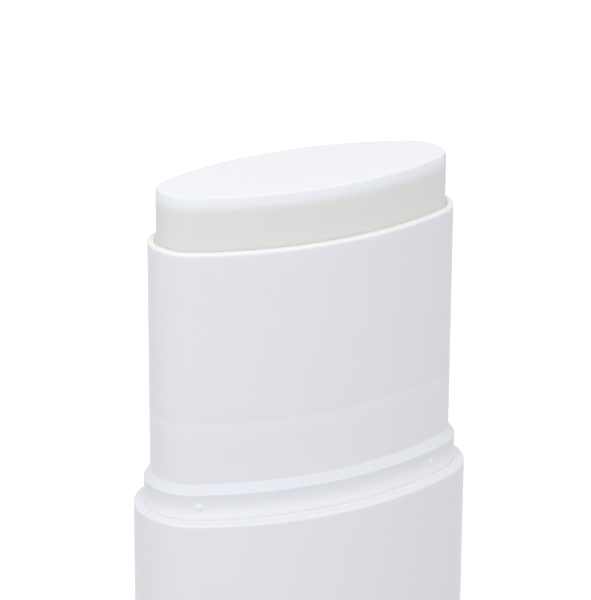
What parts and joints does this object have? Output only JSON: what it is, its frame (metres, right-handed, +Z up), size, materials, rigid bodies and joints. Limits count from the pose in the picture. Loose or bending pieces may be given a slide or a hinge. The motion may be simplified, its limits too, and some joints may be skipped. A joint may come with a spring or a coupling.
{
  "type": "twist-up sunscreen stick",
  "caption": "Oval twist-up sunscreen stick with its cap off: a dial under the case turns a screw that lifts the bar out of its sleeve.",
  "frame": {"origin": "middle of the case's foot, on the surface it stands on", "axes": "+Z up along the spindle, +X along the long side of the oval, -Y towards the front"},
  "size_m": [0.05, 0.026, 0.0738],
  "materials": {
    "case_plastic": "satin white",
    "sleeve_plastic": "satin white, slightly translucent",
    "inner_plastic": "natural white",
    "seal_rubber": "soft, matte",
    "sunscreen": "waxy, slightly translucent"
  },
  "bodies": {
    "case": {"base_shell": "case_plastic", "inner_sleeve": "sleeve_plastic"},
    "drive": {"dial": "case_plastic", "screw_spindle": "inner_plastic", "seal_ring": "seal_rubber"},
    "carriage": {"elevator": "inner_plastic", "sunscreen_bar": "sunscreen"}
  },
  "joints": [
    {"name": "dial_spin", "type": "hinge", "parent": "case", "child": "drive", "pos_m": [0, 0, 0.0058], "axis": [0, 0, 1], "range_deg": [-960, 2820]},
    {"name": "bar_lift", "type": "slide", "parent": "case", "child": "carriage", "axis": [0, 0, 1], "range_m": [-0.00801, 0.02351]}
  ],
  "couplings": [
    {"joint": "bar_lift", "follows": "dial_spin", "m_per_rad": 0.00047746}
  ]
}
